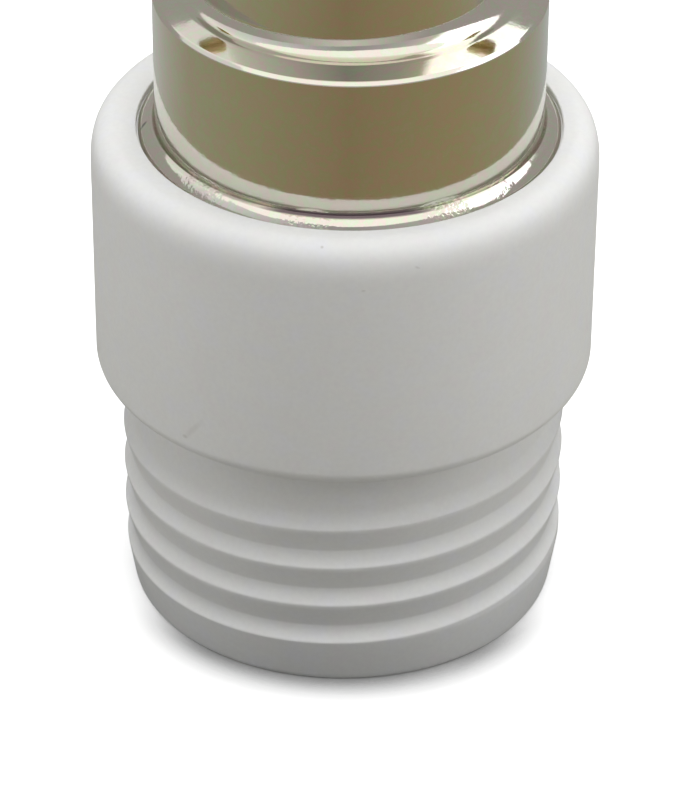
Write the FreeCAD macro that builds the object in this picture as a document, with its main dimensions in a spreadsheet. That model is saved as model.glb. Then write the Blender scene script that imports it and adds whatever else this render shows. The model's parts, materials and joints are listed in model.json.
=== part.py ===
import FreeCAD, Part
import math
import os
import re

import Sketcher

# Lamp socket converter: a two-pin bayonet cap at the top and an edison screw socket in its mouth.
# Frame: millimetres, +Z up along the turning axis, origin in the middle of the mouth rim.
# The front is -Y and the bayonet pins lie on the X axis.

os.makedirs("parts", exist_ok=True)
doc = FreeCAD.newDocument("LampSocketConverter")
sheet = doc.addObject("Spreadsheet::Sheet", "Sizes")

SIZES = {
    # white moulded body, outside
    "body_radius": 19.0,
    "body_top": 39.9,
    "body_low": 19.4,
    "body_top_round": 2.0,
    "body_low_round": 2.0,
    "body_step_width": 2.55,
    "collar_height": 3.93,
    "rim_chamfer": 0.4,
    # coarse outside thread for a shade ring
    "ring_root_rise": 0.05,
    "ring_depth": 0.58,
    "ring_pitch": 3.47,
    "ring_crest_flat": 0.15,
    "ring_hollow_height": 1.29,
    "ring_start_height": 2.2,
    "ring_end_gap": 0.05,
    "cut_margin": 0.05,
    # white moulded body, inside
    "socket_gap": 0.3,
    "socket_lead": 0.6,
    "web_low": 27.0,
    "web_thickness": 4.0,
    "head_gap": 0.15,
    "spigot_height": 6.1,
    "spigot_chamfer": 0.5,
    "recess_depth": 0.5,
    # metal cap
    "top_land_width": 0.9,
    "flange_width": 1.45,
    "flange_rise": 0.45,
    "flange_crease": 0.25,
    "cap_wall": 0.5,
    "skirt_height": 11.1,
    "skirt_round": 0.45,
    "shoulder_rise": 0.35,
    "shoulder_round": 1.2,
    "sleeve_radius": 11.0,
    "sleeve_height": 15.0,
    "sleeve_round": 1.0,
    "lip_gap": 1.0,
    # bayonet pins
    "pin_radius": 1.05,
    "pin_span": 27.0,
    "pin_drop": 5.6,
    "pin_head_radius": 1.7,
    "pin_head_height": 0.55,
    "pin_chamfer": 0.3,
    # black insulator in the cap
    "foot_height": 2.0,
    "foot_gap": 0.5,
    "stud_room_gap": 0.7,
    "disc_thickness": 2.9,
    "disc_chamfer": 0.6,
    "boss_rise": 0.8,
    "boss_gap": 0.2,
    "pocket_gap": 0.3,
    # contact studs
    "stud_radius": 1.1,
    "stud_head_radius": 1.8,
    "stud_head_height": 1.0,
    "stud_head_chamfer": 0.5,
    "stud_collar_radius": 1.6,
    "stud_collar_height": 0.8,
    "stud_tail": 0.8,
    "stud_bore_depth": 2.0,
    # screw shell
    "shell_minor_radius": 12.2,
    "shell_thread_depth": 1.1,
    "shell_wall": 0.4,
    "shell_low": 5.0,
    "shell_pitch": 3.63,
    "shell_lead": 1.9,
    "shell_root_flat": 0.6,
    "shell_mouth_flat": 2.2,
    "shell_ledge_width": 2.0,
    # rivets
    "rivet_circle": 9.5,
    "rivet_radius": 0.9,
    "rivet_head_radius": 1.45,
    "rivet_head_height": 0.6,
    "rivet_count": 3,
    # sprung centre contact
    "barrel_radius": 3.0,
    "barrel_wall": 0.7,
    "barrel_nose": 1.4,
    "barrel_lip": 0.6,
    "barrel_lip_radius": 1.75,
    "barrel_flange_radius": 4.8,
    "barrel_flange_height": 1.0,
    "barrel_rise": 5.2,
    "barrel_end": 0.8,
    "plunger_collar": 2.0,
    "plunger_stem": 3.7,
    "plunger_dome_radius": 1.2,
    "plunger_spigot": 1.0,
    "plunger_spigot_radius": 1.45,
    "spring_wire": 0.4,
    "spring_turns": 6,
    # tags, nut and leads
    "tag_thickness": 0.6,
    "tag_ring_radius": 4.9,
    "tag_width": 2.6,
    "tag_gap": 0.2,
    "nut_flats": 7.5,
    "nut_height": 2.4,
    "wire_radius": 0.5,
    "tubing_radius": 1.0,
    "tubing_strip": 1.4,
    # clearances
    "fit_gap": 0.05,
    "running_gap": 0.05,
    "rest_gap": 0.02,
}

for row, (alias, value) in enumerate(SIZES.items(), start=1):
    sheet.set(f"A{row}", alias)
    sheet.set(f"B{row}", str(value))
    sheet.setAlias(f"B{row}", alias)
doc.recompute()

# Sizes that follow from the driving ones, written as expressions of the sheet's words.
# The lamp's screw shell sets the socket's bore, and the barrel's radius sets the neck and the cap.
SHELL_MAJOR = "(shell_minor_radius + shell_thread_depth)"
SHELL_CREST = "(shell_minor_radius + shell_thread_depth + shell_wall)"
SOCKET_RADIUS = "(shell_minor_radius + shell_thread_depth + shell_wall + socket_gap)"
NECK_RADIUS = "(body_radius - body_step_width)"
NECK_WALL = f"({NECK_RADIUS} - {SOCKET_RADIUS})"
MOUTH_LEAD = f"min(socket_lead; 0.5 * {NECK_WALL})"
RIM_CHAMFER = f"min(rim_chamfer; 0.25 * {NECK_WALL})"
RING_ROOT = f"({NECK_RADIUS} + ring_root_rise)"
RING_CREST = f"({NECK_RADIUS} + ring_root_rise + ring_depth)"
RING_END = "(body_low - ring_pitch + ring_crest_flat - ring_end_gap)"
RING_TOP = f"({RING_END} - ring_root_rise - ring_depth)"
RING_TURNS = f"(({RING_END} + 0.4 * ring_end_gap - ring_start_height) / ring_pitch)"
WEB_TOP = "(web_low + web_thickness)"
RECESS_FLOOR = "(body_top - recess_depth)"
RECESS_RADIUS = "(body_radius - body_top_round - top_land_width)"
FLANGE_RADIUS = f"({RECESS_RADIUS} - 3 * fit_gap)"
FLANGE_TOP = f"({RECESS_FLOOR} + cap_wall)"
SKIRT_RADIUS = f"({RECESS_RADIUS} - 3 * fit_gap - flange_width)"
SKIRT_INSIDE = f"({SKIRT_RADIUS} - cap_wall)"
SKIRT_TOP = "(body_top + skirt_height)"
SHOULDER_ROUND = f"min(shoulder_round; 0.5 * ({SKIRT_RADIUS} - sleeve_radius))"
SPIGOT_RADIUS = f"({SKIRT_INSIDE} - fit_gap)"
SPIGOT_TOP = "(body_top + spigot_height)"
UPPER_RADIUS = "(rivet_circle + rivet_head_radius + head_gap)"
BARREL_HOLE = "(barrel_radius + fit_gap)"
SLEEVE_INSIDE = "(sleeve_radius - cap_wall)"
SLEEVE_TOP = "(body_top + skirt_height + sleeve_height)"
PIN_LEVEL = f"({SLEEVE_TOP} - pin_drop)"
DISC_TOP = f"({SLEEVE_TOP} - cap_wall)"
DISC_LOW = f"({DISC_TOP} - disc_thickness)"
TUBE_RADIUS = f"({SLEEVE_INSIDE} - 4 * fit_gap)"
BOSS_TOP = f"({SLEEVE_TOP} + boss_rise)"
STUD_OFFSET = "(tag_ring_radius + tag_gap + 0.5 * tag_width)"
STUD_LOW = f"({DISC_LOW} - stud_collar_height - stud_tail)"
TUBE_BORE = f"({STUD_OFFSET} + stud_collar_radius + stud_room_gap)"
LIP_RADIUS = f"({STUD_OFFSET} + stud_radius + lip_gap)"
SHELL_FLANGE_LOW = "(web_low - shell_wall)"
SHELL_FLANGE_RADIUS = "(rivet_circle - shell_ledge_width)"
SHELL_TURNS = f"(({SHELL_FLANGE_LOW} - shell_low - 2 * shell_lead) / shell_pitch)"
BARREL_LOW = "(web_low - barrel_flange_height - barrel_nose)"
BARREL_TOP = f"({WEB_TOP} + barrel_rise)"
BORE_RADIUS = "(barrel_radius - barrel_wall)"
COLLAR_SEAT = f"({BARREL_LOW} + barrel_lip + rest_gap)"
SPRING_LOW = f"({COLLAR_SEAT} + plunger_collar + rest_gap)"
SPRING_HIGH = f"({BARREL_TOP} - barrel_end - rest_gap)"
TAG_TOP = f"({WEB_TOP} + tag_thickness)"


def bound(text):
    """Turn the sheet's words in an expression into references to its cells."""
    return re.sub(r"\b[a-z]+(?:_[a-z]+)+\b", lambda word: "Sizes." + word.group(0), text)


def size(text):
    """The present value of an expression, as a plain number."""
    return float(sheet.evalExpression(text))


def plane(body, role):
    """The body's own origin plane or axis with this role."""
    return next(item for item in body.Origin.OriginFeatures if item.Role == role)


def new_body(label):
    body = doc.addObject("PartDesign::Body", label)
    body.Label = label
    return body


def new_sketch(body, name, role, lift=None):
    """A sketch on one of the body's origin planes, lifted along its normal where asked."""
    sketch = body.newObject("Sketcher::SketchObject", name)
    sketch.AttachmentSupport = (plane(body, role), [""])
    sketch.MapMode = "FlatFace"
    if lift:
        sketch.setExpression("AttachmentOffset.Base.z", bound(lift))
    return sketch


def fix_coordinate(sketch, kind, geometry, point, text):
    """Hold one coordinate of a sketch point, on the axis itself where the coordinate is zero."""
    value = size(text)
    if abs(value) < 1e-9:
        axis = -2 if kind == "DistanceX" else -1
        sketch.addConstraint(Sketcher.Constraint("PointOnObject", geometry, point, axis))
        return
    index = sketch.addConstraint(Sketcher.Constraint(kind, -1, 1, geometry, point, value))
    sketch.setExpression(f"Constraints[{index}]", bound(text))


def corner_points(corners):
    """Replace each rounded corner, between level and upright sides, by the two ends of its arc."""
    values = [(size(corner[0]), size(corner[1])) for corner in corners]
    points = []
    for index, corner in enumerate(corners):
        if len(corner) == 2:
            points.append((corner[0], corner[1], None))
            continue
        across, along, rounding = corner
        here = values[index]
        for step, neighbour in ((-1, values[index - 1]), (1, values[(index + 1) % len(values)])):
            shift_x = neighbour[0] - here[0]
            shift_y = neighbour[1] - here[1]
            if abs(shift_x) > abs(shift_y):
                sign = "+" if shift_x > 0 else "-"
                end = (f"{across} {sign} {rounding}", along)
            else:
                sign = "+" if shift_y > 0 else "-"
                end = (across, f"{along} {sign} {rounding}")
            points.append((*end, (rounding, here) if step == -1 else None))
    return points


def draw_profile(sketch, corners):
    """A closed outline through the corners, each (across, along) or (across, along, rounding)."""
    points = corner_points(corners)
    values = [FreeCAD.Vector(size(point[0]), size(point[1]), 0) for point in points]
    count = len(points)
    for index, point in enumerate(points):
        start = values[index]
        end = values[(index + 1) % count]
        if point[2]:
            rounding, corner = point[2]
            tip = FreeCAD.Vector(corner[0], corner[1], 0)
            middle = (start + end) * 0.5
            chord = (tip - middle).Length
            bulge = tip + (middle - tip) * ((math.sqrt(2.0) - 1.0) * size(rounding) / chord)
            sketch.addGeometry(Part.Arc(start, bulge, end), False)
        else:
            sketch.addGeometry(Part.LineSegment(start, end), False)
    ends = []
    for index in range(count):
        forward = True
        if points[index][2]:
            begin = sketch.getPoint(index, 1) - values[index]
            finish = sketch.getPoint(index, 2) - values[index]
            forward = begin.Length < finish.Length
        ends.append((1, 2) if forward else (2, 1))
    for index, point in enumerate(points):
        after = (index + 1) % count
        joint = Sketcher.Constraint("Coincident", index, ends[index][1], after, ends[after][0])
        sketch.addConstraint(joint)
        fix_coordinate(sketch, "DistanceX", index, ends[index][0], point[0])
        fix_coordinate(sketch, "DistanceY", index, ends[index][0], point[1])
        if point[2]:
            rounding = point[2][0]
            radius = sketch.addConstraint(Sketcher.Constraint("Radius", index, size(rounding)))
            sketch.setExpression(f"Constraints[{radius}]", bound(rounding))


def draw_circle(sketch, across, along, radius):
    """A circle at a named place with a named radius."""
    centre = FreeCAD.Vector(size(across), size(along), 0)
    normal = FreeCAD.Vector(0, 0, 1)
    index = sketch.addGeometry(Part.Circle(centre, normal, size(radius)), False)
    fix_coordinate(sketch, "DistanceX", index, 3, across)
    fix_coordinate(sketch, "DistanceY", index, 3, along)
    held = sketch.addConstraint(Sketcher.Constraint("Radius", index, size(radius)))
    sketch.setExpression(f"Constraints[{held}]", bound(radius))


def revolve(body, name, corners, role="XZ_Plane", axis="Z_Axis"):
    """Turn a profile of (radius, height) corners once round the axis."""
    sketch = new_sketch(body, name + "Profile", role)
    draw_profile(sketch, corners)
    turned = body.newObject("PartDesign::Revolution", name)
    turned.Profile = sketch
    turned.ReferenceAxis = (plane(body, axis), [""])
    turned.Angle = 360.0
    doc.recompute()
    return turned


def helix(body, kind, name, corners, pitch, turns):
    """Sweep a (radius, height) profile that stands at the back of the part along a helix."""
    sketch = new_sketch(body, name + "Profile", "YZ_Plane")
    draw_profile(sketch, corners)
    swept = body.newObject(kind, name)
    swept.Profile = sketch
    swept.ReferenceAxis = (plane(body, "Z_Axis"), [""])
    swept.Mode = "pitch-turns-angle"
    swept.Pitch = size(pitch)
    swept.Turns = size(turns)
    swept.Angle = 0
    swept.LeftHanded = False
    swept.Reversed = False
    swept.setExpression("Pitch", bound(pitch))
    swept.setExpression("Turns", bound(turns))
    doc.recompute()
    return swept


def pad(body, name, sketch, length):
    raised = body.newObject("PartDesign::Pad", name)
    raised.Profile = sketch
    raised.Length = size(length)
    raised.setExpression("Length", bound(length))
    doc.recompute()
    return raised


def pocket_both_ways(body, name, sketch, length):
    """Cut the sketch through the solid on both sides of its plane."""
    cut = body.newObject("PartDesign::Pocket", name)
    cut.Profile = sketch
    cut.SideType = "Symmetric"
    cut.Length = size(length)
    cut.setExpression("Length", bound(length))
    doc.recompute()
    return cut


def polar_copies(body, name, feature, count):
    """Repeat a feature evenly round the axis."""
    pattern = body.newObject("PartDesign::PolarPattern", name)
    pattern.Originals = [feature]
    pattern.Axis = (plane(body, "Z_Axis"), [""])
    pattern.Angle = 360.0
    pattern.setExpression("Occurrences", bound(count))
    body.Tip = pattern
    doc.recompute()
    return pattern


def make_body():
    """White one-piece moulding: barrel, threaded neck, contact web and spigot for the cap."""
    body = new_body("body")
    revolve(body, "BodyTurned", [
        (f"{SOCKET_RADIUS} + {MOUTH_LEAD}", "0"),
        (f"{NECK_RADIUS} - {RIM_CHAMFER}", "0"),
        (NECK_RADIUS, RIM_CHAMFER),
        (RING_CREST, "collar_height"),
        (RING_CREST, RING_TOP),
        (NECK_RADIUS, RING_END),
        (NECK_RADIUS, "body_low"),
        ("body_radius", "body_low", "body_low_round"),
        ("body_radius", "body_top", "body_top_round"),
        (RECESS_RADIUS, "body_top"),
        (RECESS_RADIUS, RECESS_FLOOR),
        (SPIGOT_RADIUS, RECESS_FLOOR),
        (SPIGOT_RADIUS, f"{SPIGOT_TOP} - spigot_chamfer"),
        (f"{SPIGOT_RADIUS} - spigot_chamfer", SPIGOT_TOP),
        (UPPER_RADIUS, SPIGOT_TOP),
        (UPPER_RADIUS, WEB_TOP),
        (BARREL_HOLE, WEB_TOP),
        (BARREL_HOLE, "web_low"),
        (SOCKET_RADIUS, "web_low"),
        (SOCKET_RADIUS, MOUTH_LEAD),
    ])
    holes = new_sketch(body, "RivetHole", "XY_Plane", "web_low")
    draw_circle(holes, "0", "rivet_circle", "rivet_radius + fit_gap")
    drilled = pocket_both_ways(body, "RivetHoleCut", holes, "3 * web_thickness")
    polar_copies(body, "RivetHoles", drilled, "rivet_count")
    cut_ring_thread(body)
    return body


def cut_ring_thread(body):
    """Cut the single-start right-hand thread: hollow above each crest, and a long slope below it."""
    low = "ring_start_height"
    high = "(ring_start_height + ring_pitch - ring_crest_flat)"
    outside = f"{RING_CREST} + 4 * cut_margin"
    helix(body, "PartDesign::SubtractiveHelix", "RingThread", [
        (outside, low),
        (outside, high),
        (RING_CREST, high),
        (RING_ROOT, f"{low} + ring_hollow_height"),
        (f"{RING_ROOT} + 0.26 * ring_depth", f"{low} + 0.46 * ring_hollow_height"),
        (RING_CREST, low),
    ], "ring_pitch", RING_TURNS)


def make_cap_shell():
    """Nickel-plated drawn cap: flange, wide skirt, shoulder and narrow bayonet sleeve."""
    body = new_body("cap_shell")
    crease = f"({SKIRT_RADIUS} + flange_crease)"
    bead_top = f"({FLANGE_TOP} + flange_rise)"
    shoulder_top = f"({SKIRT_TOP} + shoulder_rise)"
    revolve(body, "CapTurned", [
        (SKIRT_INSIDE, RECESS_FLOOR),
        (FLANGE_RADIUS, RECESS_FLOOR),
        (FLANGE_RADIUS, FLANGE_TOP),
        (f"{FLANGE_RADIUS} - flange_rise", bead_top),
        (f"{crease} + 0.8 * flange_rise", bead_top),
        (crease, f"{bead_top} - 0.8 * flange_rise"),
        (crease, FLANGE_TOP),
        (SKIRT_RADIUS, FLANGE_TOP),
        (SKIRT_RADIUS, SKIRT_TOP, "skirt_round"),
        (f"sleeve_radius + 1.3 * {SHOULDER_ROUND}", shoulder_top),
        ("sleeve_radius", shoulder_top, SHOULDER_ROUND),
        ("sleeve_radius", SLEEVE_TOP, "sleeve_round"),
        (LIP_RADIUS, SLEEVE_TOP),
        (LIP_RADIUS, DISC_TOP),
        (SLEEVE_INSIDE, DISC_TOP),
        (SLEEVE_INSIDE, f"{shoulder_top} - cap_wall"),
        (SKIRT_INSIDE, f"{SKIRT_TOP} - cap_wall"),
    ])
    holes = new_sketch(body, "PinHole", "YZ_Plane")
    draw_circle(holes, "0", PIN_LEVEL, "pin_radius + fit_gap")
    pocket_both_ways(body, "PinHoles", holes, "4 * sleeve_radius")
    return body


def make_bayonet_pin(label, turn):
    """Pin riveted into the sleeve wall, with its head on the inside."""
    body = new_body(label)
    head_face = "(sqrt((sleeve_radius - cap_wall)^2 - pin_head_radius^2) - rest_gap)"
    revolve(body, label.title().replace("_", ""), [
        (head_face + " - pin_head_height", "0"),
        ("0.5 * pin_span", "0"),
        ("0.5 * pin_span", "pin_radius - pin_chamfer"),
        ("0.5 * pin_span - pin_chamfer", "pin_radius"),
        (head_face, "pin_radius"),
        (head_face, "pin_head_radius"),
        (head_face + " - pin_head_height", "pin_head_radius"),
    ], "XZ_Plane", "X_Axis")
    body.Placement = FreeCAD.Placement(
        FreeCAD.Vector(0, 0, size(PIN_LEVEL)), FreeCAD.Rotation(FreeCAD.Vector(0, 0, 1), turn))
    body.setExpression("Placement.Base.z", bound(PIN_LEVEL))
    return body


def make_cap_insulator():
    """Black moulded cup that stands on the spigot and closes the sleeve under its lip."""
    body = new_body("cap_insulator")
    foot = f"({SKIRT_INSIDE} - foot_gap)"
    boss = f"({LIP_RADIUS} - boss_gap)"
    revolve(body, "InsulatorTurned", [
        (TUBE_BORE, SPIGOT_TOP),
        (foot, SPIGOT_TOP),
        (foot, f"{SPIGOT_TOP} + foot_height"),
        (TUBE_RADIUS, f"{SPIGOT_TOP} + foot_height"),
        (TUBE_RADIUS, f"{DISC_TOP} - disc_chamfer"),
        (f"{TUBE_RADIUS} - disc_chamfer", DISC_TOP),
        (boss, DISC_TOP),
        (boss, BOSS_TOP),
        ("0", BOSS_TOP),
        ("0", DISC_LOW),
        (TUBE_BORE, DISC_LOW),
    ])
    pockets = new_sketch(body, "PinPocket", "YZ_Plane")
    draw_circle(pockets, "0", PIN_LEVEL, "pin_head_radius + pocket_gap")
    pocket_both_ways(body, "PinPockets", pockets, "4 * sleeve_radius")
    studs = new_sketch(body, "StudHole", "XY_Plane", DISC_TOP)
    for side in (f"-{STUD_OFFSET}", STUD_OFFSET):
        draw_circle(studs, "0", side, "stud_radius + fit_gap")
    pocket_both_ways(body, "StudHoles", studs, "4 * disc_thickness")
    return body


def make_contact_stud(label, side):
    """Brass contact with a bevelled head above the insulator and a collar peened under it."""
    body = new_body(label)
    bore = "(wire_radius + fit_gap)"
    revolve(body, label.title().replace("_", ""), [
        (bore, STUD_LOW),
        ("stud_radius", STUD_LOW),
        ("stud_radius", DISC_LOW + " - stud_collar_height"),
        ("stud_collar_radius", DISC_LOW + " - stud_collar_height"),
        ("stud_collar_radius", DISC_LOW),
        ("stud_radius", DISC_LOW),
        ("stud_radius", BOSS_TOP),
        ("stud_head_radius", BOSS_TOP),
        ("stud_head_radius", BOSS_TOP + " + stud_head_height - stud_head_chamfer"),
        ("stud_head_radius - stud_head_chamfer", BOSS_TOP + " + stud_head_height"),
        ("0", BOSS_TOP + " + stud_head_height"),
        ("0", STUD_LOW + " + stud_bore_depth"),
        (bore, STUD_LOW + " + stud_bore_depth"),
    ])
    body.setExpression("Placement.Base.y", bound(side))
    return body


def make_screw_shell():
    """Thin rolled shell with the lamp's screw thread and a flange riveted under the web."""
    body = new_body("screw_shell")
    tube_outside = "(shell_minor_radius + shell_wall)"
    revolve(body, "ShellTurned", [
        ("shell_minor_radius", "shell_low"),
        (tube_outside, "shell_low"),
        (tube_outside, "web_low"),
        (SHELL_FLANGE_RADIUS, "web_low"),
        (SHELL_FLANGE_RADIUS, SHELL_FLANGE_LOW),
        ("shell_minor_radius", SHELL_FLANGE_LOW),
    ])
    holes = new_sketch(body, "ShellHole", "XY_Plane", "web_low")
    draw_circle(holes, "0", "rivet_circle", "rivet_radius + fit_gap")
    drilled = pocket_both_ways(body, "ShellHoleCut", holes, "4 * shell_wall")
    polar_copies(body, "ShellHoles", drilled, "rivet_count")
    start = "(shell_low + shell_lead)"
    helix(body, "PartDesign::AdditiveHelix", "ShellBead", [
        (tube_outside + " - 0.5 * shell_wall", f"{start} - 0.5 * shell_mouth_flat - 0.5 * shell_wall"),
        (tube_outside, f"{start} - 0.5 * shell_mouth_flat - 0.5 * shell_wall"),
        (SHELL_CREST, f"{start} - 0.5 * shell_root_flat - 0.5 * shell_wall"),
        (SHELL_CREST, f"{start} + 0.5 * shell_root_flat + 0.5 * shell_wall"),
        (tube_outside, f"{start} + 0.5 * shell_mouth_flat + 0.5 * shell_wall"),
        (tube_outside + " - 0.5 * shell_wall", f"{start} + 0.5 * shell_mouth_flat + 0.5 * shell_wall"),
    ], "shell_pitch", SHELL_TURNS)
    slope = "(0.5 * (shell_mouth_flat - shell_root_flat) / shell_thread_depth)"
    reach = f"(0.5 * shell_mouth_flat + {slope} * cut_margin)"
    helix(body, "PartDesign::SubtractiveHelix", "ShellGroove", [
        ("shell_minor_radius - cut_margin", f"{start} - {reach}"),
        (SHELL_MAJOR, f"{start} - 0.5 * shell_root_flat"),
        (SHELL_MAJOR, f"{start} + 0.5 * shell_root_flat"),
        ("shell_minor_radius - cut_margin", f"{start} + {reach}"),
    ], "shell_pitch", SHELL_TURNS)
    return body


def make_shell_rivets():
    """Three rivets through the shell's flange and the web; the one at the back holds a tag too."""
    low = SHELL_FLANGE_LOW
    shapes = []
    count = int(size("rivet_count"))
    for index in range(count):
        high = TAG_TOP if index == 0 else WEB_TOP
        grip = size(high) - size(low)
        head_radius = size("rivet_head_radius")
        head_height = size("rivet_head_height")
        base = FreeCAD.Vector(0, size("rivet_circle"), size(low))
        axis = FreeCAD.Vector(0, 0, 1)
        shank = Part.makeCylinder(size("rivet_radius"), grip, base, axis)
        lower = Part.makeCylinder(head_radius, head_height, base - axis * head_height, axis)
        upper = Part.makeCylinder(head_radius, head_height, base + axis * grip, axis)
        rivet = shank.fuse([lower, upper]).removeSplitter()
        rivet.rotate(FreeCAD.Vector(0, 0, 0), axis, 360.0 * index / count)
        shapes.append(rivet)
    rivets = doc.addObject("Part::Feature", "shell_rivets")
    rivets.Label = "shell_rivets"
    rivets.Shape = Part.makeCompound(shapes)
    return rivets


def make_line_tag():
    """Ring tag clamped round the contact barrel, with an arm to the line lead."""
    body = new_body("line_tag")
    ring = new_sketch(body, "TagRing", "XY_Plane", WEB_TOP)
    draw_circle(ring, "0", "0", "tag_ring_radius")
    pad(body, "TagRingPad", ring, "tag_thickness")
    arm = new_sketch(body, "TagArm", "XY_Plane", WEB_TOP)
    draw_profile(arm, [
        ("-0.5 * tag_width", f"-{STUD_OFFSET} - 0.5 * tag_width"),
        ("0.5 * tag_width", f"-{STUD_OFFSET} - 0.5 * tag_width"),
        ("0.5 * tag_width", "-barrel_radius"),
        ("-0.5 * tag_width", "-barrel_radius"),
    ])
    pad(body, "TagArmPad", arm, "tag_thickness")
    holes = new_sketch(body, "TagHoles", "XY_Plane", WEB_TOP)
    draw_circle(holes, "0", "0", BARREL_HOLE)
    draw_circle(holes, "0", f"-{STUD_OFFSET}", "wire_radius + fit_gap")
    pocket_both_ways(body, "TagHolesCut", holes, "4 * tag_thickness")
    return body


def make_neutral_tag():
    """Flat tag under the back rivet, with a hole for the neutral lead."""
    body = new_body("neutral_tag")
    plate = new_sketch(body, "NeutralPlate", "XY_Plane", WEB_TOP)
    draw_profile(plate, [
        ("-0.5 * tag_width", f"{STUD_OFFSET} - 0.5 * tag_width"),
        ("0.5 * tag_width", f"{STUD_OFFSET} - 0.5 * tag_width"),
        ("0.5 * tag_width", "rivet_circle"),
        ("-0.5 * tag_width", "rivet_circle"),
    ])
    pad(body, "NeutralPad", plate, "tag_thickness")
    end = new_sketch(body, "NeutralEnd", "XY_Plane", WEB_TOP)
    draw_circle(end, "0", "rivet_circle", "0.5 * tag_width")
    pad(body, "NeutralEndPad", end, "tag_thickness")
    holes = new_sketch(body, "NeutralHoles", "XY_Plane", WEB_TOP)
    draw_circle(holes, "0", "rivet_circle", "rivet_radius + fit_gap")
    draw_circle(holes, "0", STUD_OFFSET, "wire_radius + fit_gap")
    pocket_both_ways(body, "NeutralHolesCut", holes, "4 * tag_thickness")
    return body


def make_contact_barrel():
    """Turned barrel in the web, closed at the top, with a rolled-in lip that keeps the plunger."""
    body = new_body("contact_barrel")
    flange_low = "(web_low - barrel_flange_height)"
    revolve(body, "BarrelTurned", [
        ("barrel_lip_radius", BARREL_LOW),
        ("barrel_radius - 0.5 * barrel_lip", BARREL_LOW),
        ("barrel_radius", BARREL_LOW + " + 0.5 * barrel_lip"),
        ("barrel_radius", flange_low),
        ("barrel_flange_radius", flange_low),
        ("barrel_flange_radius", "web_low"),
        ("barrel_radius", "web_low"),
        ("barrel_radius", f"{BARREL_TOP} - 0.5 * barrel_end"),
        ("barrel_radius - 0.5 * barrel_end", BARREL_TOP),
        ("0", BARREL_TOP),
        ("0", f"{BARREL_TOP} - barrel_end"),
        (BORE_RADIUS, f"{BARREL_TOP} - barrel_end"),
        (BORE_RADIUS, BARREL_LOW + " + barrel_lip"),
        ("barrel_lip_radius", BARREL_LOW + " + barrel_lip"),
    ])
    return body


def make_contact_plunger():
    """Sprung centre contact: domed stem, collar that runs in the barrel and spigot for the spring."""
    body = new_body("contact_plunger")
    stem = "(barrel_lip_radius - running_gap)"
    collar = f"({BORE_RADIUS} - running_gap)"
    revolve(body, "PlungerTurned", [
        ("0", COLLAR_SEAT + " - plunger_stem"),
        (stem, COLLAR_SEAT + " - plunger_stem", "plunger_dome_radius"),
        (stem, COLLAR_SEAT),
        (collar, COLLAR_SEAT),
        (collar, COLLAR_SEAT + " + plunger_collar"),
        ("plunger_spigot_radius", COLLAR_SEAT + " + plunger_collar"),
        ("plunger_spigot_radius", COLLAR_SEAT + " + plunger_collar + plunger_spigot"),
        ("0", COLLAR_SEAT + " + plunger_collar + plunger_spigot"),
    ])
    return body


def make_contact_spring():
    """Compression spring between the plunger's collar and the closed end of the barrel."""
    body = new_body("contact_spring")
    wire = "(0.5 * spring_wire)"
    coil = f"({BORE_RADIUS} - 4 * fit_gap - {wire})"
    profile = new_sketch(body, "SpringWire", "YZ_Plane")
    middle = f"{SPRING_LOW} + {wire}"
    draw_profile(profile, [
        (f"{coil} + {wire} * cos({angle})", f"{middle} + {wire} * sin({angle})")
        for angle in range(30, 390, 60)
    ])
    wound = body.newObject("PartDesign::AdditiveHelix", "SpringWound")
    wound.Profile = profile
    wound.ReferenceAxis = (plane(body, "Z_Axis"), [""])
    wound.Mode = "height-turns-angle"
    wound.Angle = 0
    wound.Height = size(f"{SPRING_HIGH} - {SPRING_LOW} - spring_wire")
    wound.Turns = size("spring_turns")
    wound.setExpression("Height", bound(f"{SPRING_HIGH} - {SPRING_LOW} - spring_wire"))
    wound.setExpression("Turns", bound("spring_turns"))
    doc.recompute()
    return body


def make_barrel_nut():
    """Hexagon nut that clamps the barrel and the line tag to the web."""
    body = new_body("barrel_nut")
    sketch = new_sketch(body, "NutHexagon", "XY_Plane", TAG_TOP)
    corner = "nut_flats / sqrt(3)"
    draw_profile(sketch, [
        (f"{corner} * cos({angle})" if angle not in (90, 270) else "0",
         f"{corner} * sin({angle})" if angle not in (0, 180) else "0")
        for angle in range(0, 360, 60)
    ])
    pad(body, "NutPad", sketch, "nut_height")
    hole = new_sketch(body, "NutHole", "XY_Plane", TAG_TOP)
    draw_circle(hole, "0", "0", BARREL_HOLE)
    pocket_both_ways(body, "NutHoleCut", hole, "4 * nut_height")
    return body


def make_lead_wire(label, side):
    """Stiff tinned wire from its tag straight up into the bore of its contact stud."""
    wire = doc.addObject("Part::Cylinder", label)
    wire.Label = label
    wire.setExpression("Radius", bound("wire_radius"))
    wire.setExpression("Height", bound(f"{STUD_LOW} + stud_bore_depth - rest_gap - {WEB_TOP}"))
    wire.setExpression("Placement.Base.y", bound(side))
    wire.setExpression("Placement.Base.z", bound(WEB_TOP))
    return wire


def make_lead_sleeve(label, side):
    """Insulating tubing over a lead, bare for a short way above the tag."""
    body = new_body(label)
    low = f"({TAG_TOP} + tubing_strip)"
    sketch = new_sketch(body, label.title().replace("_", "") + "Ring", "XY_Plane", low)
    draw_circle(sketch, "0", side, "tubing_radius")
    draw_circle(sketch, "0", side, "wire_radius + fit_gap")
    pad(body, label.title().replace("_", "") + "Pad", sketch, f"{STUD_LOW} - rest_gap - {low}")
    return body


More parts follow.
